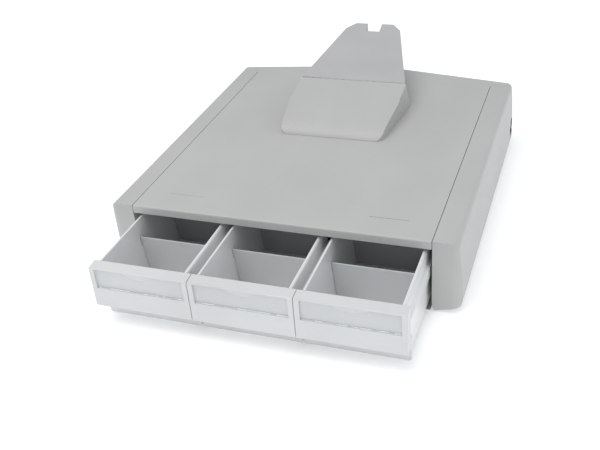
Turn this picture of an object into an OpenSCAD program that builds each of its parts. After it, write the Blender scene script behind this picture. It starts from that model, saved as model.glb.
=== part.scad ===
// Three-drawer storage unit that hangs under a cart worksurface on a sheet-steel arm.
// Millimetres. X is the width, Y runs from the drawer fronts to the rear, Z is up.
// The origin is at the centre of the footprint, on the underside, with the drawers partly open.

/* [Housing] */
// Overall width over the two side covers
housing_w = 463; // [455:1:475]
// Distance between the two long seams of the top cover
panel_w = 390; // [389:0.5:392]
// Depth at the centre of the rear edge
housing_d = 504; // [500:1:520]
// Height from the underside of the tray to the top surface
housing_h = 100.5; // [99:0.5:104]
// Depth of the lip that turns down at the front of the top cover
lip_h = 11.4; // [9:0.1:12]
// Wall of the moulded covers
wall = 3; // [2.5:0.1:3.5]
// How far the rear edge falls away for each millimetre to the side
rear_slope = 0.16; // [0.12:0.01:0.18]

/* [Drawers] */
// How far the drawers stand open
open_out = 118.7; // [60:0.1:149]
// Width of one drawer front
front_w = 129; // [128:0.1:129.2]
// Height of one drawer front
front_h = 56.6; // [54:0.1:58]
// Thickness of a drawer front at its top
front_t = 16.3; // [14:0.1:18]
// Length of one bin from the face of its front to its rear end
bin_l = 191; // [185:1:200]
// Width of one bin across its rim
bin_w = 114; // [112:0.5:115]

/* [Arm] */
// Half width of the arm where it leaves its cover
arm_half = 80; // [78:0.5:80]
// Rise of the arm for each millimetre to the rear
arm_slope = 0.29; // [0.25:0.01:0.3]
// Width of the notch in the end of the arm
notch_w = 23.5; // [20:0.5:26]

/* [Lock] */
// Distance from the housing front to the lock
lock_y = 449; // [447:1:451]
// Height of the lock above the underside
lock_z = 34; // [32:0.5:34.5]

/* [Hidden] */
half_w = housing_w / 2;
half_p = panel_w / 2;
mid_y = (housing_d - open_out) / 2;
seam = 0.8;
seam_l = 452.8;
turn_r = 6;
pan_t = 1.2;
stop_y = 25.4;
head_h = 0.6;
boss_in = 7;
pitch = 129.7;
drawer_x = [-pitch, 0, pitch];
rim_z = housing_h - 15.6;
front_z = rim_z - front_h;
tub_z = 1.6;
floor_t = 2.4;
run_z = 48.7;
run_top = 63.8;
over_z = run_top + 2.6;
run_x = 63.3;
upper_x = 59.3;
side_x = 60.7;
side_low = 7;
strip_y = 22.7;
face_t = 4.4;
recess_t = 2.8;
label_z = 54.6;
skirt_x = 63.2;
skirt_top = 38;
divider_y = 105.7;
divider_t = 1.6;
divider_top = 62;
tab_h = 12;
carrier_t = 3;
tongue_z = 44;
tongue_t = 2.5;
tongue_end = 466;
hook_r = 23;
shaft_r = 4;
wedge_y = 232;
slit_y = 356;
slit_z = 36.5;
arm_t = 3;
arm_end = 495;
arm_step = 2.9;
step_y = slit_y + 2;
notch_y = 475;
tab_y = 484.5;
arm_z = housing_h + 33.5;
bolt_x = 52;
bolt_y = [290, 330];
screw_at = concat([for (x = [-pitch / 2, pitch / 2], y = [40, 150]) [x, y]],
                  [for (x = [-150, -50, 50, 150]) [x, housing_d - rear_slope * abs(x) - boss_in]]);
eps = 0.01;

// ---------- helpers ----------

// Moves the housing frame so that the footprint is centred on the origin.
module place() {
    translate([0, -mid_y, 0])
        children();
}

// Moves one drawer from its closed place to its open place.
module open_drawer(n) {
    translate([drawer_x[n - 1], -open_out, 0])
        children();
}

// Extrudes a section drawn in X and Z along Y, from y0 to y1.
module along_y(y0, y1) {
    translate([0, y1, 0])
        rotate([90, 0, 0])
            linear_extrude(y1 - y0)
                children();
}

// Extrudes a section drawn in Y and Z along X, from x0 to x1.
module along_x(x0, x1) {
    translate([x0, 0, 0])
        rotate([90, 0, 90])
            linear_extrude(x1 - x0)
                children();
}

// Box given by its lowest and highest corners.
module block(a, b) {
    translate(a)
        cube([b[0] - a[0], b[1] - a[1], b[2] - a[2]]);
}

// Cylinder along X from x0 to x1.
module rod_x(x0, x1, y, z, r) {
    translate([x0, y, z])
        rotate([0, 90, 0])
            cylinder(h = x1 - x0, r = r, $fn = 48);
}

function arc_pts(cx, cy, r, a0, a1, n) =
    [for (i = [0:n]) [cx + r * cos(a0 + (a1 - a0) * i / n), cy + r * sin(a0 + (a1 - a0) * i / n)]];

function mirrored(p) =
    concat(p, [for (i = [len(p) - 1:-1:0]) [-p[i][0], p[i][1]]]);

// Half section of the housing in X and Z: flat top, soft shoulder, bowed side, rising underside.
function half_section(t) =
    concat([[half_p + 2, 1.3 + t]],
           arc_pts(half_w - 4.7 - t, 12.2 + t, 4.2, -80, 0, 5),
           [[half_w - 0.1 - t, 22], [half_w - 0.6 - t, 40], [half_w - 1.7 - t, 60], [half_w - 3.3 - t, 80]],
           arc_pts(half_w - 12.5 - t, housing_h - 8 - t, 8, 8, 90, 8));

// Plan of the housing: square front, rounded corners, shallow V at the rear.
function half_plan(t) =
    concat([[half_w - 12 - t, t]],
           arc_pts(half_w - 13 - t, 13 + t, 13, -84, 0, 8),
           arc_pts(half_w - 9 - t, rear_y(half_w) - 10 - t, 9, 0, 82, 7),
           [[0.5, housing_d - t]]);

function rear_y(x) = housing_d - rear_slope * x;

// Solid outline of the housing, shrunk by t.
module envelope(t) {
    intersection() {
        along_y(-1, housing_d + 1)
            polygon(mirrored(half_section(t)));
        linear_extrude(housing_h + 1)
            polygon(mirrored(half_plan(t)));
    }
}

// Hollow wall of the housing.
module shell() {
    difference() {
        envelope(0);
        envelope(wall);
    }
}

// Space that belongs to the top cover.
module top_zone(gap) {
    block([-half_p - gap, -1, housing_h - lip_h - gap], [half_p + gap, housing_d + 1, housing_h + 1]);
    block([-half_w - 1, seam_l + seam - gap, housing_h - lip_h - gap],
          [half_w + 1, housing_d + 1, housing_h + 1]);
    // the long seams turn outward in a small curve before the full-width rear part
    for (s = [-1, 1])
        difference() {
            block([s * (half_p + 3) - 3.8, seam_l - turn_r, housing_h - lip_h - gap],
                  [s * (half_p + 3) + 3.8, seam_l + seam, housing_h + 1]);
            translate([s * (half_p + seam + turn_r), seam_l - turn_r, 0])
                cylinder(h = housing_h + 10, r = turn_r + seam - gap, $fn = 48);
        }
}

// ---------- housing ----------

module top_cover() {
    color("#c2c4be") place() difference() {
        union() {
            intersection() {
                shell();
                top_zone(0);
            }
            // side flanges
            for (s = [-1, 1])
                block([s * (half_p - 1.25) - 1.25, 1, housing_h - lip_h],
                      [s * (half_p - 1.25) + 1.25, seam_l, housing_h - 1]);
        }
        for (x = [-bolt_x, bolt_x], y = bolt_y)
            translate([x, y, housing_h - 10])
                cylinder(h = 20, r = 3.25, $fn = 32);
        // two shallow alignment grooves
        for (s = [-1, 1])
            block([s * 135 - 25, 37.9, housing_h - 0.5], [s * 135 + 25, 39.1, housing_h + 1]);
    }
}

module side_cover() {
    difference() {
        union() {
            intersection() {
                shell();
                block([half_p + seam, -1, 0], [half_w + 1, housing_d, housing_h + 1]);
            }
            // return flange at the mouth of the housing
            block([half_p + seam, 0.5, 1.5], [half_p + seam + 2.5, 30, housing_h - 1]);
            // rear closing wall
            intersection() {
                envelope(0.5);
                block([half_p + seam, 440, 4],
                      [half_p + seam + 2.5, rear_y(half_p) - 1, housing_h - lip_h - 1]);
            }
        }
        top_zone(0.3);
        // the inner corner at the foot of the mouth is cut back
        along_y(-1, 30)
            polygon([[half_p, -1], [half_p + seam + 3.6, -1], [half_p + seam + 3.2, 2], [half_p + seam + 1, 8],
                     [half_p + seam - 0.1, 15], [half_p, 15]]);
    }
}

module side_cover_left() {
    color("#b9bcba") place() mirror([1, 0, 0]) side_cover();
}

module side_cover_right() {
    color("#b9bcba") place() difference() {
        union() {
            side_cover();
            // dished seat of the lock
            intersection() {
                envelope(0.5);
                rod_x(half_w - 9.5, half_w, lock_y, lock_z, 17);
            }
        }
        rod_x(half_w - 6.5, half_w + 5, lock_y, lock_z, 14.5);
        rod_x(half_p - 1, half_w + 5, lock_y, lock_z, 9.6);
    }
}

module back_panel() {
    color("#b4b7b5") place() difference() {
        union() {
            intersection() {
                shell();
                block([-half_p, 440, 4.4], [half_p, housing_d + 1, housing_h - lip_h - 0.4]);
            }
            // screw bosses
            for (x = [-150, -50, 50, 150])
                translate([x, rear_y(abs(x)) - boss_in, 1.6])
                    cylinder(h = 14, r = 5, $fn = 32);
        }
        for (x = [-150, -50, 50, 150])
            translate([x, rear_y(abs(x)) - boss_in, 0])
                cylinder(h = 12, r = 1.5, $fn = 24);
        // cooling slots
        for (s = [-1, 1], i = [0:5])
            translate([s * (60 + 14 * i) - 2, housing_d - 40, 40])
                cube([4, 50, 28]);
    }
}

module bottom_pan() {
    color("#8d9192") place() difference() {
        union() {
            linear_extrude(pan_t)
                polygon([[-half_p + 1, 1.5], [half_p - 1, 1.5], [half_p - 1, rear_y(half_p) - 3.5],
                         [0, housing_d - 3.5], [-half_p + 1, rear_y(half_p) - 3.5]]);
            // stiffening beads under the drawers, pressed upward between the bins
            for (x = [-half_p + 7, half_p - 7])
                block([x - 4, 60, pan_t - eps], [x + 4, 200, pan_t + 0.3]);
        }
        for (p = screw_at) {
            translate([p[0], p[1], -1])
                cylinder(h = 5, r = 1.7, $fn = 24);
            translate([p[0], p[1], -1])
                cylinder(h = 1 + head_h + 0.05, r = 2.85, $fn = 24);
        }
    }
}

// Steel rail at the side of the housing: one rib under the drawer's runner and one above it.
module side_rail() {
    along_y(stop_y, 440)
        polygon([[193.4, pan_t + 0.6], [195, pan_t + 0.6], [195, 87.6], [193.4, 87.6],
                 [193.4, over_z + 1.8], [189.7, over_z + 1.8], [189.7, over_z], [193.4, over_z],
                 [193.4, run_z - 0.3], [191, run_z - 0.3], [191, run_z - 2], [193.4, run_z - 2]]);
}

module side_rail_left() {
    color("#9a9d9f") place() mirror([1, 0, 0]) side_rail();
}

module side_rail_right() {
    color("#9a9d9f") place() side_rail();
}

// Moulded rail between two bins: a foot, a web, and on each side a rib under and over the runner.
module partition(x) {
    translate([x, 0, 0]) difference() {
        union() {
            along_y(stop_y, 400)
                polygon(mirrored([[7, pan_t], [7, 3.2], [1.2, 3.2], [1.2, run_z - 2], [3.6, run_z - 2],
                                  [3.6, run_z - 0.3], [1.2, run_z - 0.3], [1.2, over_z],
                                  [4.9, over_z], [4.9, over_z + 1.8], [1.2, over_z + 1.8], [1.2, 84]]));
            for (y = [40, 150])
                translate([0, y, pan_t])
                    cylinder(h = 13, r = 3.4, $fn = 32);
        }
        for (y = [40, 150])
            translate([0, y, 0])
                cylinder(h = 14, r = 1.5, $fn = 24);
    }
}

module partition_left() {
    color("#6f7374") place() partition(-pitch / 2);
}

module partition_right() {
    color("#6f7374") place() partition(pitch / 2);
}

// Steel strip under the top cover that stops the drawers from coming out.
module stop_bar() {
    color("#8d9192") place() union() {
        block([-half_p + 3, 38, housing_h - wall - 1.5], [half_p - 3, 52, housing_h - wall]);
        block([-half_p + 3, 38, rim_z + 1.4], [half_p - 3, 40, housing_h - wall]);
    }
}

module carrier_plate() {
    color("#8d9192") place() difference() {
        union() {
            block([-170, 220, housing_h - wall - 3], [170, 400, housing_h - wall]);
            for (s = [-1, 1])
                block([s * 168.5 - 1.5, 220, housing_h - wall - 9], [s * 168.5 + 1.5, 400, housing_h - wall]);
        }
        for (x = [-bolt_x, bolt_x], y = bolt_y)
            translate([x, y, housing_h - 20])
                cylinder(h = 30, r = 2.5, $fn = 32);
    }
}

// ---------- arm ----------

// Upper face of the arm inside its cover, at a given depth, and outside it after the step.
function arm_at(y) = arm_z + arm_slope * (y - slit_y);
function arm_out(y) = arm_at(y) + arm_step;

// Pressed steel arm: inclined plate that steps up flush with its cover, narrows to a notched end,
// and has two tabs turned down beside the notch.
module bracket_arm() {
    color("#bbbbbe") place() difference() {
        union() {
            intersection() {
                along_x(-arm_half - 1.5, arm_half + 1.5)
                    polygon([[262, arm_at(262) - arm_t], [step_y + 2.8, arm_at(step_y + 2.8) - arm_t],
                             [step_y + 3, arm_out(step_y + 3) - arm_t], [arm_end, arm_out(arm_end) - arm_t],
                             [arm_end - 0.8, arm_out(arm_end)], [step_y, arm_out(step_y)],
                             [step_y - 0.2, arm_at(step_y - 0.2)], [262, arm_at(262)]]);
                linear_extrude(housing_h + 200)
                    polygon([[-74, 262], [74, 262], [arm_half - 1, slit_y - 1], [arm_half + 1.2, slit_y + 2],
                             [45, 480], [30.3, arm_end], [-30.3, arm_end], [-45, 480],
                             [-arm_half - 1.2, slit_y + 2], [-arm_half + 1, slit_y - 1]]);
            }
            for (s = [-1, 1])
                along_x(s * (notch_w / 2 + 1.5) - 1.5, s * (notch_w / 2 + 1.5) + 1.5)
                    polygon([[notch_y, arm_out(notch_y) - 1], [notch_y, arm_out(notch_y) - 17],
                             [arm_end - 4, arm_out(arm_end - 4) - 17], [arm_end - 1, arm_out(arm_end) - 12],
                             [arm_end - 1, arm_out(arm_end) - 1]]);
        }
        block([-notch_w / 2, notch_y, housing_h], [notch_w / 2, arm_end + 5, housing_h + 120]);
        rod_x(-notch_w, notch_w, tab_y, arm_out(tab_y) - 10, 2.75);
    }
}

// Angle welded under the arm: an upright that follows its slope and a foot for two bolts.
module arm_foot() {
    difference() {
        union() {
            along_x(70, 73)
                polygon([[264, housing_h + 0.2], [345, housing_h + 0.2],
                         [345, arm_at(345) - arm_t - 0.02], [264, arm_at(264) - arm_t - 0.02]]);
            block([37, 264, housing_h + 0.2], [73, 345, housing_h + 3.2]);
        }
        for (y = bolt_y)
            translate([bolt_x, y, housing_h - 5])
                cylinder(h = 12, r = 3.25, $fn = 32);
    }
}

module arm_foot_left() {
    color("#bbbbbe") place() mirror([1, 0, 0]) arm_foot();
}

module arm_foot_right() {
    color("#bbbbbe") place() arm_foot();
}

// Profile of the arm's cover: a low rounded nose, then one long slope to the slit.
function hood_line(t) =
    [[wedge_y + t, housing_h + 1 - t], [wedge_y + 2 + t, housing_h + 4 - t],
     [wedge_y + 5.5 + t, housing_h + 7 - t], [wedge_y + 11 + t, housing_h + 10.1 - t],
     [wedge_y + 18 + t, housing_h + 13 - t], [wedge_y + 30 + t, housing_h + 16.6 - t]];

// Solid of the arm's cover, shrunk by t: sloping top, drafted sides.
module wedge(t) {
    out = t > 0 ? 1 : 0;
    intersection() {
        along_x(-100, 100)
            polygon(concat([[wedge_y + t, housing_h - 2 * out]], hood_line(t),
                           [[slit_y + out, housing_h + slit_z - t], [slit_y + out, housing_h - 2 * out]]));
        along_y(200, 400)
            polygon(mirrored([[89 - t, housing_h - 1], [82.6 - t, housing_h + slit_z + 2]]));
        linear_extrude(300)
            polygon(mirrored([[68.5 - t, wedge_y], [72 - t, wedge_y + 1.6], [74.8 - t, wedge_y + 4.6],
                              [76.4 - t, wedge_y + 9], [88.5 - t, slit_y + 1]]));
    }
}

module bracket_cover() {
    color("#bfc1bb") place() union() {
        difference() {
            wedge(0);
            wedge(2.4);
        }
        // locating pegs at the front corners
        for (x = [-45, 45])
            translate([x, wedge_y + 16, housing_h + 0.1])
                cylinder(h = 10.5, r = 3, $fn = 24);
    }
}

module arm_bolts() {
    color("#55585a") place() for (x = [-bolt_x, bolt_x], y = bolt_y)
        translate([x, y, 0]) {
            translate([0, 0, housing_h + 3.2])
                cylinder(h = 3.6, r = 5, $fn = 32);
            translate([0, 0, housing_h - 14])
                cylinder(h = 17.3, r = 2.49, $fn = 32);
        }
}

// ---------- drawers ----------

// Outside of a bin in X and Z: drafted wall, square runner, upright wall, chamfered rim.
function bin_side(low, top_x) =
    [[51, low], [55.4, run_z], [run_x, run_z], [run_x, run_top - 1.8],
     [upper_x, run_top + 2.2], [upper_x, rim_z - 2], [top_x, rim_z]];

// Moulded bin: drafted walls, square runners, side skirts, stepped front wall, slots for the divider.
module tub(n) {
    color("#cfd1d3") place() open_drawer(n) difference() {
        union() {
            along_y(front_t - 2.3, bin_l)
                polygon(mirrored(bin_side(tub_z, bin_w / 2)));
            for (s = [-1, 1])
                block([s * (side_x - 0.85) - 0.85, strip_y, side_low],
                      [s * (side_x - 0.85) + 0.85, bin_l, run_z + 1]);
            // wide skirt that closes the housing below the front
            along_y(strip_y, strip_y + 2.4)
                polygon(mirrored([[skirt_x - 1.5, tub_z], [skirt_x, tub_z + 2], [skirt_x, skirt_top]]));
        }
        // inside of the bin
        intersection() {
            along_y(0, bin_l + 1)
                polygon(mirrored([[48.8, tub_z + floor_t], [55.2, rim_z + 1]]));
            along_x(-70, 70)
                polygon([[strip_y + 2.4, tub_z], [bin_l + 1, tub_z], [bin_l + 1, rim_z + 2],
                         [front_t, rim_z + 2], [front_t, 52], [strip_y + 2.4, 34]]);
        }
        // the front panel's top covers the front wall
        block([-70, 0, rim_z - 2.5], [70, front_t + 0.1, rim_z + 1]);
        // the finger space under the front
        along_x(-70, 70)
            polygon([[0, 0], [strip_y, 0], [strip_y, 33], [front_t - 2.3, 50], [0, 50]]);
        // slits for the divider tabs
        block([-56, divider_y - 3, divider_top - tab_h], [56, divider_y + 1.2, divider_top + 1.4]);
    }
}

// Moulded front: face with a label recess, sloping top, side returns and a back rib.
module front(n) {
    color("#d9dbde") place() open_drawer(n) difference() {
        along_x(-front_w / 2, front_w / 2)
            polygon([[0, front_z], [front_t - 2.5, front_z], [front_t - 2.5, rim_z - 2.4],
                     [front_t, rim_z - 2.4], [front_t, rim_z], [0, rim_z - 1.5]]);
        // hollow behind the face
        block([-front_w / 2 + 2.5, face_t, front_z - 1], [front_w / 2 - 2.5, front_t, rim_z - 5]);
        // recess for the label
        block([-58, -1, label_z], [58, recess_t, rim_z - 3]);
    }
}

module label_cover(n) {
    color("#dfe3e6") place() open_drawer(n) difference() {
        block([-57, recess_t - 1, label_z + 0.2], [57, recess_t - 0.2, rim_z - 3.6]);
        translate([0, 5, rim_z - 11.6 + 34.4])
            rotate([90, 0, 0])
                cylinder(h = 10, r = 34.4, $fn = 96);
    }
}

module divider(n) {
    color("#c9ccce") place() open_drawer(n) union() {
        along_y(divider_y - divider_t / 2, divider_y + divider_t / 2)
            polygon(mirrored([[48.6, tub_z + floor_t + 0.2], [53.2, divider_top]]));
        block([-54.8, divider_y - divider_t / 2, divider_top - tab_h + 0.4],
              [54.8, divider_y + divider_t / 2, divider_top]);
    }
}

// Black end plate of a bin with the tongue that the lock catches.
module rear_carrier(n) {
    color("#2c2e30") place() open_drawer(n) difference() {
        union() {
            along_y(bin_l, bin_l + carrier_t)
                polygon(mirrored(bin_side(tub_z + 0.2, bin_w / 2 - 0.2)));
            block([-12, bin_l + 1, rim_z - 1], [12, bin_l + carrier_t, rim_z + 3.2]);
            block([-14, bin_l + 1, tongue_z], [14, tongue_end, tongue_z + tongue_t]);
            for (s = [-1, 1])
                along_x(s * 13 - 1, s * 13 + 1)
                    polygon([[bin_l + 1, tongue_z + 1], [bin_l + 60, tongue_z + 1],
                             [bin_l + 1, tongue_z + 24]]);
        }
        block([-6, lock_y - 24, tongue_z - 1], [6, lock_y + 6, tongue_z + tongue_t + 1]);
    }
}

module tub_1() { tub(1); }
module tub_2() { tub(2); }
module tub_3() { tub(3); }
module front_1() { front(1); }
module front_2() { front(2); }
module front_3() { front(3); }
module label_cover_1() { label_cover(1); }
module label_cover_2() { label_cover(2); }
module label_cover_3() { label_cover(3); }
module divider_1() { divider(1); }
module divider_2() { divider(2); }
module divider_3() { divider(3); }
module rear_carrier_1() { rear_carrier(1); }
module rear_carrier_2() { rear_carrier(2); }
module rear_carrier_3() { rear_carrier(3); }

// ---------- lock ----------

module lock_body() {
    color("#8a8c8e") place() difference() {
        union() {
            rod_x(half_w - 6.4, half_w - 2.5, lock_y, lock_z, 12);
            rod_x(half_w - 30, half_w - 6.3, lock_y, lock_z, 9.5);
        }
        rod_x(half_w - 31, half_w, lock_y, lock_z, 6.05);
    }
}

module lock_nut() {
    color("#77797b") place() difference() {
        translate([half_w - 14.5, lock_y, lock_z])
            rotate([0, 90, 0])
                cylinder(h = 4.8, r = 12.5, $fn = 6);
        rod_x(half_w - 20, half_w, lock_y, lock_z, 9.5);
    }
}

module lock_plug() {
    color("#a3a4a2") place() difference() {
        union() {
            rod_x(half_w - 29, half_w - 2.4, lock_y, lock_z, 6);
            rod_x(half_w - 36, half_w - 28, lock_y, lock_z, 5);
        }
        block([half_w - 20, lock_y - 0.9, lock_z - 4], [half_w, lock_y + 0.9, lock_z + 4]);
    }
}

module lock_shaft() {
    color("#9d9fa1") place() union() {
        rod_x(-186, half_w - 36, lock_y, lock_z, shaft_r);
        rod_x(-190, -186, lock_y, lock_z, 6);
    }
}

// Hook that turns up into the tongue of a closed drawer.
module lock_hook(n) {
    color("#9d9fa1") place() translate([drawer_x[n - 1], 0, 0]) difference() {
        union() {
            rod_x(-4, 4, lock_y, lock_z, 8);
            block([-3, lock_y - hook_r, lock_z - 3], [3, lock_y, lock_z + 3]);
        }
        rod_x(-5, 5, lock_y, lock_z, shaft_r + 0.02);
    }
}

module lock_hook_1() { lock_hook(1); }
module lock_hook_2() { lock_hook(2); }
module lock_hook_3() { lock_hook(3); }

// Bent steel foot that carries the lock shaft.
module shaft_bearing(x) {
    translate([x, 0, 0]) difference() {
        union() {
            block([-1.5, lock_y - 10, pan_t], [1.5, lock_y + 10, lock_z + 9]);
            block([-1.5, lock_y - 10, pan_t], [14, lock_y + 10, pan_t + 2]);
        }
        rod_x(-3, 3, lock_y, lock_z, shaft_r + 0.08);
    }
}

module shaft_bearing_left() {
    color("#8d9192") place() shaft_bearing(-175);
}

module shaft_bearing_right() {
    color("#8d9192") place() shaft_bearing(70);
}

module pan_screws() {
    color("#55585a") place() {
        for (p = screw_at)
            translate([p[0], p[1], 0]) {
                cylinder(h = 11, r = 1.49, $fn = 24);
                cylinder(h = head_h, r = 2.8, $fn = 24);
            }
    }
}

top_cover();
side_cover_left();
side_cover_right();
back_panel();
bottom_pan();
side_rail_left();
side_rail_right();
partition_left();
partition_right();
stop_bar();
carrier_plate();
bracket_arm();
arm_foot_left();
arm_foot_right();
bracket_cover();
arm_bolts();
tub_1();
tub_2();
tub_3();
front_1();
front_2();
front_3();
label_cover_1();
label_cover_2();
label_cover_3();
divider_1();
divider_2();
divider_3();
rear_carrier_1();
rear_carrier_2();
rear_carrier_3();
lock_body();
lock_nut();
lock_plug();
lock_shaft();
lock_hook_1();
lock_hook_2();
lock_hook_3();
shaft_bearing_left();
shaft_bearing_right();
pan_screws();
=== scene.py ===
import math

import bmesh
import bpy
from mathutils import Matrix, Vector


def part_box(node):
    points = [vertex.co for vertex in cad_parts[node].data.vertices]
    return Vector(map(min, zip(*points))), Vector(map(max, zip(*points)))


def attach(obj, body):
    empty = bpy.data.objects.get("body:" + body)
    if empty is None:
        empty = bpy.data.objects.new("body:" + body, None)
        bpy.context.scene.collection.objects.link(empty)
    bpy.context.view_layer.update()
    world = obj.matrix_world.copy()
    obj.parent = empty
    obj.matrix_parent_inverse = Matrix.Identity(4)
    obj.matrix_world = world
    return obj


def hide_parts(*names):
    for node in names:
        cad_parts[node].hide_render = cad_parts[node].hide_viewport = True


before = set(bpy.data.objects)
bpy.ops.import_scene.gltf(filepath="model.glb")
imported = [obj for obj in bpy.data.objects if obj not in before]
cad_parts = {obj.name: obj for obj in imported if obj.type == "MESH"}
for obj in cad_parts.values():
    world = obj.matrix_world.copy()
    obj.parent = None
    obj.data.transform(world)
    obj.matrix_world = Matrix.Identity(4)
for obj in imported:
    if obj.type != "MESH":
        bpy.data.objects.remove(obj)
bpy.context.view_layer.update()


# ---- Top cover -------------------------------------------------------------------------------
# One large injection-moulded lid in warm grey ABS with a fine spark-eroded grain. It lies between
# the two side covers, turns down 11 mm at the front as a lip, and spreads to the full width behind.

class Value:
    """One output of a material's nodes, so that shader maths reads as an expression."""

    def __init__(self, finish, socket):
        self.finish = finish
        self.socket = socket

    def join(self, operation, *parts):
        return self.finish.node("ShaderNodeMath", {"operation": operation}, dict(enumerate(parts)))

    def __add__(self, other):
        return self.join("ADD", self, other)

    def __radd__(self, other):
        return self.join("ADD", other, self)

    def __sub__(self, other):
        return self.join("SUBTRACT", self, other)

    def __rsub__(self, other):
        return self.join("SUBTRACT", other, self)

    def __mul__(self, other):
        return self.join("MULTIPLY", self, other)

    def __rmul__(self, other):
        return self.join("MULTIPLY", other, self)

    def step(self, low, high):
        """0 below low, 1 above high, smooth between."""
        return self.finish.node("ShaderNodeMapRange", {"interpolation_type": "SMOOTHSTEP"},
                                {"Value": self, "From Min": low, "From Max": high})


class Finish:
    """A surface finish: one Principled shader and the nodes that vary it."""

    def __init__(self, name, **constants):
        self.material = bpy.data.materials.new(name)
        self.material.use_nodes = True
        self.tree = self.material.node_tree
        self.shader = self.tree.nodes["Principled BSDF"]
        for socket, value in constants.items():
            self.shader.inputs[socket.replace("_", " ")].default_value = value
        self.place = self.node("ShaderNodeTexCoord", output="Object")

    def node(self, kind, settings=None, sockets=None, output=0):
        made = self.tree.nodes.new(kind)
        for key, value in (settings or {}).items():
            setattr(made, key, value)
        for key, value in (sockets or {}).items():
            if isinstance(value, Value):
                self.tree.links.new(value.socket, made.inputs[key])
            else:
                made.inputs[key].default_value = value
        return Value(self, made.outputs[output])

    def noise(self, scale, detail=2.0, stretch=(1, 1, 1)):
        place = self.node("ShaderNodeMapping", None, {"Vector": self.place, "Scale": stretch})
        return self.node("ShaderNodeTexNoise", None, {"Vector": place, "Scale": scale, "Detail": detail})

    def blend(self, mask, first, second):
        return self.node("ShaderNodeMix", {"data_type": "RGBA"}, {0: mask, 6: first, 7: second}, output=2)

    def feed(self, socket, value):
        self.tree.links.new(value.socket, self.shader.inputs[socket])

    def relief(self, height, depth, strength=1.0):
        bump = self.node("ShaderNodeBump", None, {"Height": height, "Distance": depth, "Strength": strength})
        self.feed("Normal", bump)


def moulded(name, colour, rough, grain, grain_size=1500, scuffs=0.5):
    """Moulded thermoplastic: slight flow marks, a fine grain, and faint rubbed patches."""
    finish = Finish(name, IOR=1.5)
    tone = finish.noise(9.0, 3.0, (1, 0.6, 1))
    speck = finish.noise(420.0, 2.0)
    rub = finish.noise(38.0, 6.0, (1, 3.0, 1)).step(0.60, 0.78) * scuffs
    light = tuple(min(1.0, c * 1.035) for c in colour) + (1,)
    dark = tuple(c * 0.965 for c in colour) + (1,)
    worn = tuple(min(1.0, c * 1.07 + 0.008) for c in colour) + (1,)
    body = finish.blend((tone * 0.75 + speck * 0.25).step(0.3, 0.7), dark, light)
    finish.feed("Base Color", finish.blend(rub * 0.5, body, worn))
    finish.feed("Roughness", (tone - 0.5) * 0.10 + (rough - rub * 0.10))
    fine = finish.noise(grain_size, 1.5)
    wave = finish.noise(26.0, 1.0)
    finish.relief(fine + wave * 1.6, grain, 0.55)
    return finish.material


def as_piece(form, name, finish, crease=32):
    """A new object from a form, shaded smooth except across edges sharper than crease degrees."""
    mesh = bpy.data.meshes.new(name)
    form.to_mesh(mesh)
    form.free()
    mesh.shade_smooth()
    mesh.set_sharp_from_angle(angle=math.radians(crease))
    mesh.materials.append(finish)
    piece = bpy.data.objects.new(name, mesh)
    bpy.context.scene.collection.objects.link(piece)
    return piece


def on(value, place):
    """Whether a coordinate lies on a plane of the part."""
    return abs(value - place) < 1e-4


def along(share):
    """Whether an edge runs along an axis, from that axis's share of its direction."""
    return abs(share) > 0.9


def rounded(node, name, body, finish, rules):
    """A piece in the exact shape of a CAD node with its edges broken as the real moulding's are.

    Each rule is (radius in mm, segments, test), where test takes an edge's middle, its direction
    and the normals of its two faces, and says whether that edge gets the radius."""
    form = bmesh.new()
    form.from_mesh(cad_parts[node].data)
    bmesh.ops.remove_doubles(form, verts=form.verts, dist=2e-6)
    bmesh.ops.dissolve_limit(form, angle_limit=math.radians(0.6), verts=form.verts, edges=form.edges)
    for radius, segments, test in rules:
        form.normal_update()
        chosen = []
        for edge in form.edges:
            if len(edge.link_faces) != 2 or edge.calc_face_angle(0) < math.radians(24):
                continue
            ends = [v.co for v in edge.verts]
            normals = [f.normal for f in edge.link_faces]
            if test((ends[0] + ends[1]) / 2, (ends[1] - ends[0]).normalized(), normals):
                chosen.append(edge)
        if chosen:
            bmesh.ops.bevel(form, geom=chosen, offset=radius / 1000, offset_type="OFFSET",
                            segments=segments, profile=0.5, affect="EDGES", clamp_overlap=True)
    bmesh.ops.remove_doubles(form, verts=form.verts, dist=1e-6)
    form.normal_update()
    piece = as_piece(form, name, finish)
    weigh = piece.modifiers.new("face_weights", "WEIGHTED_NORMAL")
    weigh.keep_sharp = True
    weigh.weight = 80
    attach(piece, body)
    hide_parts(node)


lid_low, lid_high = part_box("top_cover")
top_z = lid_high.z
front_y = lid_low.y
lid_finish = moulded("warm_grey_abs", (0.492, 0.492, 0.478), 0.46, grain=0.00007)
rear_zone = 0.045
seam_zone = 0.19
rounded("top_cover", "top_cover_shell", "housing", lid_finish, [
    # the front edge, the rear edge, the edges at the seams, and the foot of the lip
    (2.4, 4, lambda m, d, n: on(m.z, top_z) and on(m.y, front_y)),
    (2.6, 4, lambda m, d, n: on(m.z, top_z) and m.y > lid_high.y - rear_zone and abs(d.x) > 0.5),
    (0.35, 2, lambda m, d, n: on(m.z, top_z) and along(d.y) and abs(m.x) > seam_zone),
    (0.5, 2, lambda m, d, n: m.z < lid_low.z + 1e-4 and on(m.y, front_y)),
])


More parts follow.
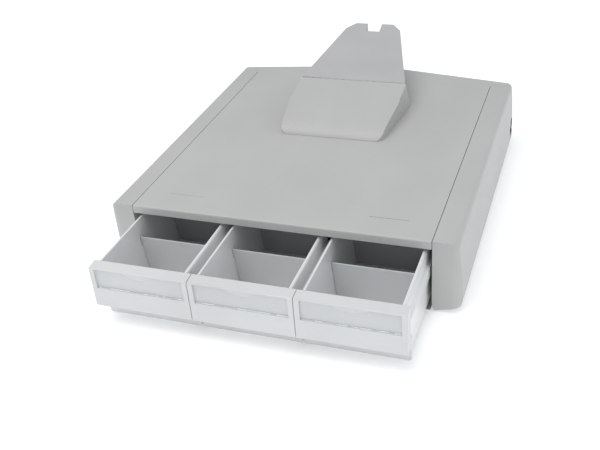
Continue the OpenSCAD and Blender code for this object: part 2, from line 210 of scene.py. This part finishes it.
# ---- Side covers -----------------------------------------------------------------------------
# A left and a right moulding in a slightly cooler grey, with a soft shoulder along the top and a
# rounded foot. Each stands beside the top cover, with a narrow seam between the two.
side_finish = moulded("side_grey_abs", (0.487, 0.488, 0.478), 0.47, grain=0.00007)
inner_x = 0.1965
foot_z = 0.012
dish_x = 0.2275
for side in ("left", "right"):
    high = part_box("side_cover_" + side)[1]
    rounded("side_cover_" + side, "side_cover_%s_shell" % side, "housing", side_finish, [
        # round the front face and its foot, the rear edge, the edge at the seam, the lip of the dish
        (2.2, 4, lambda m, d, n: m.y < front_y + 0.004 and min(v.y for v in n) < -0.7
            and m.z > foot_z and abs(m.x) > inner_x),
        (1.6, 3, lambda m, d, n: m.y < front_y + 0.002 and min(v.y for v in n) < -0.7
            and m.z <= foot_z and abs(m.x) > inner_x),
        (2.6, 4, lambda m, d, n: m.y > high.y - 0.03 and on(m.z, top_z) and abs(d.x) > 0.5),
        (0.35, 2, lambda m, d, n: on(m.z, top_z) and along(d.y)),
        (0.8, 3, lambda m, d, n: abs(m.x) > dish_x and m.y > high.y - 0.06 and 0.01 < m.z < 0.05),
    ])


# ---- Back panel ------------------------------------------------------------------------------
# The rear wall of the housing, moulded in the side covers' grey. It follows the shallow V of the
# rear edge, has two rows of cooling slots, and is screwed to the tray through small bosses.
rounded("back_panel", "back_panel_shell", "housing", side_finish, [
    # the ends of the slots, and the lower edge
    (0.6, 2, lambda m, d, n: along(d.z) and 0.03 < m.z < 0.075),
    (0.5, 2, lambda m, d, n: m.z < 0.0046 and abs(d.x) > 0.6),
])


# ---- Cover of the arm ------------------------------------------------------------------------
# A separate wedge in the top cover's plastic. It hides the feet and bolts of the arm, slopes up to
# the rear, and ends in a narrow slit where the steel comes out.
hood_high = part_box("bracket_cover")[1]
rounded("bracket_cover", "bracket_cover_shell", "housing", lid_finish, [
    # the two sloping shoulders, and the edge at the slit
    (1.6, 4, lambda m, d, n: abs(m.x) > 0.06 and m.z > top_z + 0.0015 and m.y < hood_high.y - 0.004
        and max(v.z for v in n) > 0.5 and min(v.z for v in n) < 0.5 and min(v.z for v in n) > 0),
    (0.3, 2, lambda m, d, n: m.y > hood_high.y - 0.002 and m.z > top_z + 0.02),
])


# ---- Painted shade in the slit ---------------------------------------------------------------
# A near-black strip in the slit between the cover and the steel is painted shade. It stands in for
# the shadow in the gap. The piece is assumed: the CAD model has none, and it only darkens the slit.
shade_strip_half = 0.0805
shade_strip_thick = 0.0024
shade_strip_deep = 0.0022
shade_strip_sunk = 0.0006
shade_strip_steps = 48
shade_strip_form = bmesh.new()
shade_strip_front = hood_high.y - 0.0004
shade_strip_rear = shade_strip_front + shade_strip_thick
rows = []
for k in range(shade_strip_steps + 1):
    x = -shade_strip_half + 2 * shade_strip_half * k / shade_strip_steps
    wave = 0.00012 * math.sin(k * 1.7) + 0.00008 * math.sin(k * 4.1)
    crest = hood_high.z - shade_strip_sunk + wave
    rows.append([shade_strip_form.verts.new(corner) for corner in (
        (x, shade_strip_front, crest - shade_strip_deep),
        (x, shade_strip_front, crest - 0.0003),
        (x, (shade_strip_front + shade_strip_rear) / 2, crest),
        (x, shade_strip_rear, crest - 0.0002),
        (x, shade_strip_rear, crest - shade_strip_deep))])
for near, far in zip(rows, rows[1:]):
    for k in range(5):
        shade_strip_form.faces.new((near[k], near[(k + 1) % 5], far[(k + 1) % 5], far[k]))
shade_strip_form.faces.new(rows[0])
shade_strip_form.faces.new(list(reversed(rows[-1])))
bmesh.ops.recalc_face_normals(shade_strip_form, faces=shade_strip_form.faces)
# painted shade: the strip's near-black, mottled colour stands in for the shadow in the slit
slit_shade = Finish("slit_painted_shade", Roughness=0.9)
shade_mottle = slit_shade.noise(1400.0, 3.0)
slit_shade.feed("Base Color", slit_shade.blend(shade_mottle.step(0.35, 0.65), (0.018, 0.018, 0.019, 1),
                                     (0.040, 0.040, 0.042, 1)))
slit_shade.relief(shade_mottle, 0.00015, 0.8)
shade_strip = as_piece(shade_strip_form, "slit_shade_strip", slit_shade.material, crease=180)
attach(shade_strip, "housing")


# ---- Arm -------------------------------------------------------------------------------------
# The load-bearing arm is 3 mm steel, cut, folded and powder-coated in light grey. It leans up to
# the rear, narrows, and ends in two prongs with tabs turned down for the clamping screw.
def coated(name, colour, rough):
    """Powder coat on steel: an orange-peel ripple and slow changes of tone."""
    finish = Finish(name, Coat_Weight=0.12, Coat_Roughness=0.25, IOR=1.5)
    peel = finish.noise(330.0, 2.0)
    cloud = finish.noise(14.0, 3.0)
    light = tuple(min(1.0, c * 1.03) for c in colour) + (1,)
    dark = tuple(c * 0.97 for c in colour) + (1,)
    finish.feed("Base Color", finish.blend(cloud.step(0.3, 0.7), dark, light))
    finish.feed("Roughness", (peel - 0.5) * 0.12 + (rough + (cloud - 0.5) * 0.08))
    finish.relief(peel + finish.noise(1600.0, 1.0) * 0.3, 0.00008, 0.5)
    return finish.material


arm_finish = coated("light_grey_powder_coat", (0.462, 0.456, 0.456), 0.42)
rounded("bracket_arm", "bracket_arm_plate", "housing", arm_finish, [
    (0.7, 2, lambda m, d, n: abs(m.x) > 0.01 and max(v.z for v in n) > 0.9),
    (0.5, 2, lambda m, d, n: min(v.z for v in n) < -0.9 and abs(m.x) > 0.02),
])
for side in ("left", "right"):
    rounded("arm_foot_" + side, "arm_foot_%s_angle" % side, "housing", arm_finish, [
        (0.5, 2, lambda m, d, n: True),
    ])


# ---- Rails and other steel inside ------------------------------------------------------------
# Zinc-plated sheet: the side rails that carry the runners of the outer drawers, the stiffener that
# takes the arm's bolts, the strip that stops the drawers, and the bearings of the lock shaft.
def plated(name, colour, rough, brushed=(1, 1, 1)):
    """Plated or drawn steel: a fine lay, with stains and softer spots."""
    finish = Finish(name, Metallic=1.0)
    lay = finish.noise(900.0, 3.0, brushed)
    stain = finish.noise(22.0, 4.0)
    light = tuple(min(1.0, c * 1.12) for c in colour) + (1,)
    dark = tuple(c * 0.88 for c in colour) + (1,)
    finish.feed("Base Color", finish.blend((lay * 0.5 + stain * 0.5).step(0.3, 0.7), dark, light))
    finish.feed("Roughness", (lay - 0.5) * 0.18 + (rough + (stain - 0.5) * 0.12))
    finish.relief(lay, 0.00003, 0.5)
    return finish.material


zinc_finish = plated("zinc_plate", (0.60, 0.61, 0.62), 0.38, (1, 0.08, 1))
for node in ("side_rail_left", "side_rail_right", "stop_bar", "carrier_plate",
             "shaft_bearing_left", "shaft_bearing_right"):
    rounded(node, node + "_sheet", "housing", zinc_finish, [
        (0.25, 2, lambda m, d, n: True),
    ])


# ---- Tray ------------------------------------------------------------------------------------
# The tray that closes the underside is the same zinc-plated sheet with a light grey coat, screwed
# to the back panel and the partitions from below.
tray_finish = coated("light_grey_tray_coat", (0.430, 0.435, 0.440), 0.48)
rounded("bottom_pan", "bottom_tray", "housing", tray_finish, [
    (0.25, 2, lambda m, d, n: True),
])


# ---- Partitions ------------------------------------------------------------------------------
# Two dark moulded rails stand between the drawers. Each has a foot and a web, with a rib under the
# runners of the drawers beside it and a rib over them that keeps an open drawer from tipping.
rail_finish = moulded("dark_grey_nylon", (0.060, 0.062, 0.066), 0.42, grain=0.00004, scuffs=0.8)
for side in ("left", "right"):
    rounded("partition_" + side, "partition_%s_rail" % side, "housing", rail_finish, [
        (0.3, 2, lambda m, d, n: m.z > 0.004),
    ])


# ---- Fasteners -------------------------------------------------------------------------------
# Black-zinc screws: four bolts with plain round heads hold the feet of the arm, and eight small
# screws, let in flush from below, hold the partitions and the back panel to the tray.
screw_finish = plated("black_zinc", (0.10, 0.10, 0.105), 0.35)
for node in ("arm_bolts", "pan_screws"):
    rounded(node, node + "_set", "housing", screw_finish, [
        (0.3, 2, lambda m, d, n: True),
    ])


# ---- Bins ------------------------------------------------------------------------------------
# Each drawer is a one-piece tub in pale grey polypropylene: drafted walls, a runner on each side,
# a wide skirt below, and slits in the walls for the divider. The wall tops are left thin.
bin_finish = moulded("pale_grey_polypropylene", (0.775, 0.777, 0.778), 0.30,
                     grain=0.00003, grain_size=1800, scuffs=0.15)
for number in (1, 2, 3):
    drawer = "drawer_%d" % number
    low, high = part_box("tub_%d" % number)
    middle = (low.x + high.x) / 2
    rounded("tub_%d" % number, "bin_%d" % number, drawer, bin_finish, [
        # the tops of the walls, the foot of the skirt and its front, the runners, the skirt's sides
        (0.7, 3, lambda m, d, n: m.z > high.z - 0.0004 and abs(d.y) > 0.5),
        (1.2, 3, lambda m, d, n: m.z < low.z + 0.004 and along(d.y)),
        (0.8, 2, lambda m, d, n: m.z < low.z + 0.0002 and m.y < low.y + 0.008),
        (0.8, 2, lambda m, d, n: along(d.y) and abs(m.x - middle) > 0.0625 and 0.045 < m.z < 0.066),
        (0.5, 2, lambda m, d, n: along(d.y) and abs(m.x - middle) > 0.0585 and m.z < 0.0075),
    ])


# ---- Dividers --------------------------------------------------------------------------------
# A loose plate stands across each bin. Its two tabs hang in slits near the top of the walls, so it
# lifts out, and it is a little lower than the rim.
divider_finish = moulded("divider_polypropylene", (0.650, 0.658, 0.665), 0.24,
                         grain=0.00004, grain_size=1800)
for number in (1, 2, 3):
    drawer = "drawer_%d" % number
    rounded("divider_%d" % number, "divider_plate_%d" % number, drawer, divider_finish, [
        (0.4, 2, lambda m, d, n: abs(d.y) < 0.5),
    ])


# ---- Drawer fronts ---------------------------------------------------------------------------
# A hollow front clips over the front wall of each bin. It has a rim along the top, a shallow recess
# for a label above, and a plain band below that is gripped from beneath.
front_finish = moulded("light_grey_polypropylene", (0.665, 0.668, 0.670), 0.34,
                       grain=0.00004, grain_size=1800)
for number in (1, 2, 3):
    drawer = "drawer_%d" % number
    low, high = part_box("front_%d" % number)
    rounded("front_%d" % number, "drawer_front_%d" % number, drawer, front_finish, [
        # the rim before and behind, the two ends, the lower edge, and round the label's recess
        (1.1, 3, lambda m, d, n: m.y < low.y + 0.0004 and m.z > high.z - 0.0022),
        (0.7, 3, lambda m, d, n: m.z > high.z - 0.0004 and m.y > low.y + 0.012),
        (0.7, 3, lambda m, d, n: (on(m.x, low.x) or on(m.x, high.x)) and abs(d.x) < 0.1
            and (m.y < low.y + 0.001 or m.z > high.z - 0.0022)),
        (0.7, 2, lambda m, d, n: m.y < low.y + 0.0004 and m.z < low.z + 0.0004),
        (0.35, 2, lambda m, d, n: m.y < low.y + 0.0029 and low.x + 0.003 < m.x < high.x - 0.003
            and low.z + 0.01 < m.z < high.z - 0.0023),
    ])


# ---- Label covers ----------------------------------------------------------------------------
# A strip of clear polycarbonate lies in the recess of each front, where a paper label goes behind
# it. A thumb notch is cut out of its top edge. A bright, nearly opaque band along its lower edge,
# flecked along its length, is a painted highlight for the light caught by the ledge below it.
clear = Finish("clear_polycarbonate", IOR=1.5)
haze = clear.noise(30.0, 3.0)
height = clear.node("ShaderNodeSeparateXYZ", None, {"Vector": clear.place}, output=2)
strip_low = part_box("label_cover_1")[0]
# painted highlight: a bright, nearly opaque band at the foot of the strip, with glints along it
painted_highlight_band = 1.0 - height.step(strip_low.z + 0.0009, strip_low.z + 0.0015)
gleam = painted_highlight_band * (clear.noise(60.0, 2.0, (1, 0.01, 0.01)).step(0.42, 0.56) * 0.65 + 0.30)
clear.feed("Base Color", clear.blend(painted_highlight_band, (0.72, 0.73, 0.74, 1), (0.98, 0.99, 1.0, 1)))
clear.feed("Alpha", haze * 0.05 + 0.05 + gleam)
clear.feed("Roughness", haze * 0.10 + 0.10)
clear.relief(clear.noise(60.0, 2.0), 0.00005, 0.3)
clear.material.surface_render_method = "BLENDED"
for number in (1, 2, 3):
    drawer = "drawer_%d" % number
    rounded("label_cover_%d" % number, "label_strip_%d" % number, drawer, clear.material, [
        (0.15, 2, lambda m, d, n: True),
    ])


# ---- Rear carriers ---------------------------------------------------------------------------
# A glass-filled end plate closes the rear of each bin. It carries the lug that meets the stop
# strip and the long tongue with the slot that the lock's hook enters.
carrier_finish = moulded("grey_glass_filled_nylon", (0.420, 0.424, 0.430), 0.34, grain=0.00005, scuffs=0.9)
for number in (1, 2, 3):
    drawer = "drawer_%d" % number
    rounded("rear_carrier_%d" % number, "bin_end_%d" % number, drawer, carrier_finish, [
        (0.4, 2, lambda m, d, n: True),
    ])


# ---- Lock ------------------------------------------------------------------------------------
# A small cam lock sits in a round dish low on the right side, near the rear. Its plug turns one
# long shaft whose three hooks swing up into the tongues of the closed drawers.
nickel_finish = plated("satin_nickel", (0.56, 0.55, 0.53), 0.30)
for node, body in (("lock_body", "housing"), ("lock_nut", "housing"), ("lock_plug", "lock_turning"),
                   ("lock_shaft", "lock_turning"), ("lock_hook_1", "lock_turning"),
                   ("lock_hook_2", "lock_turning"), ("lock_hook_3", "lock_turning")):
    rounded(node, node + "_steel", body, nickel_finish, [
        (0.3, 2, lambda m, d, n: True),
    ])


# ---- Painted shade in the lock dish ----------------------------------------------------------
# A thin near-black cup lines the dish round the lock's face. It is painted shade standing in for the
# shadow inside the dish. The piece is assumed: the CAD model has none, and it only darkens the dish.
dish_low, dish_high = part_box("lock_body")
centre_y = (dish_low.y + dish_high.y) / 2
centre_z = (dish_low.z + dish_high.z) / 2
sides = 72
# radius, and distance out from the lock's face, round the section of the cup
section = ((0.01212, -0.0036), (0.01212, -0.0030), (0.0136, -0.0026), (0.01425, -0.0010),
           (0.01435, 0.0012), (0.01445, 0.0012), (0.01445, -0.0036))
cup_form = bmesh.new()
rings = []
for radius, out in section:
    ring = []
    for k in range(sides):
        turned = 2 * math.pi * k / sides
        ring.append(cup_form.verts.new((dish_high.x + out, centre_y + radius * math.cos(turned),
                                        centre_z + radius * math.sin(turned))))
    rings.append(ring)
for inner, outer in zip(rings, rings[1:] + rings[:1]):
    for k in range(sides):
        cup_form.faces.new((inner[k], inner[(k + 1) % sides], outer[(k + 1) % sides], outer[k]))
bmesh.ops.recalc_face_normals(cup_form, faces=cup_form.faces)
# painted shade: the near-black colour stands in for the shadow inside the dish
dish_shade_finish = moulded("dish_painted_shade", (0.035, 0.036, 0.038), 0.42, grain=0.00003, grain_size=1800)
cup = as_piece(cup_form, "lock_dish_shade", dish_shade_finish, crease=40)
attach(cup, "housing")


# ---- Floor, light and camera -----------------------------------------------------------------
# A plain pale floor, a broad soft light overhead, weak fills from the front and the right, and a
# camera that looks down on the drawers from the front and right.
reach = 14.0
floor_form = bmesh.new()
corners = ((-reach, -reach), (reach, -reach), (reach, reach), (-reach, reach))
floor_form.faces.new([floor_form.verts.new((x, y, -0.0002)) for x, y in corners])
paper = Finish("floor_paper", Roughness=0.9, Emission_Color=(1.0, 1.0, 1.0, 1), Emission_Strength=0.30)
paper.feed("Base Color", paper.blend(paper.noise(3.0, 2.0), (0.93, 0.93, 0.93, 1), (0.95, 0.95, 0.95, 1)))
floor = as_piece(floor_form, "floor", paper.material)

world = bpy.data.worlds.new("studio")
bpy.context.scene.world = world
world.use_nodes = True
sky = world.node_tree.nodes["Background"]
sky.inputs["Color"].default_value = (0.91, 0.955, 1.0, 1)
sky.inputs["Strength"].default_value = 0.62


def softbox(name, at, towards, size, power, tint=(1, 1, 1)):
    lamp = bpy.data.lights.new(name, "AREA")
    lamp.shape = "RECTANGLE"
    lamp.size = size[0]
    lamp.size_y = size[1]
    lamp.energy = power
    lamp.color = tint
    box = bpy.data.objects.new(name, lamp)
    box.location = at
    box.rotation_euler = (Vector(towards) - Vector(at)).to_track_quat("-Z", "Y").to_euler()
    bpy.context.scene.collection.objects.link(box)


softbox("overhead", (-0.5, -0.7, 2.5), (0.0, 0.0, 0.0), (2.4, 2.0), 34.5, (1.0, 0.975, 0.935))
softbox("front_fill", (-0.7, -2.6, 1.0), (0.0, 0.0, 0.05), (2.2, 1.2), 2.0, (0.80, 0.90, 1.0))
softbox("right_fill", (2.7, 0.3, 0.8), (0.1, 0.0, 0.05), (1.4, 1.2), 7.4)

turn = math.radians(-21.61)
tilt = math.radians(32.16)
roll = math.radians(-4.951)
ahead = Vector((math.sin(turn) * math.cos(tilt), math.cos(turn) * math.cos(tilt), -math.sin(tilt)))
level = Vector((math.cos(turn), -math.sin(turn), 0.0))
upright = level.cross(ahead)
right = level * math.cos(roll) + upright * math.sin(roll)
above = upright * math.cos(roll) - level * math.sin(roll)
lens = bpy.data.cameras.new("camera")
lens.sensor_width = 36.0
lens.lens = 51.5
lens.clip_end = 60.0
camera = bpy.data.objects.new("camera", lens)
stand = Matrix.Translation((0.3578, -1.0084, 0.6532))
camera.matrix_world = stand @ Matrix((right, above, -ahead)).transposed().to_4x4()
bpy.context.scene.collection.objects.link(camera)
bpy.context.scene.camera = camera
bpy.context.scene.view_settings.view_transform = "Standard"
bpy.context.scene.view_settings.look = "None"
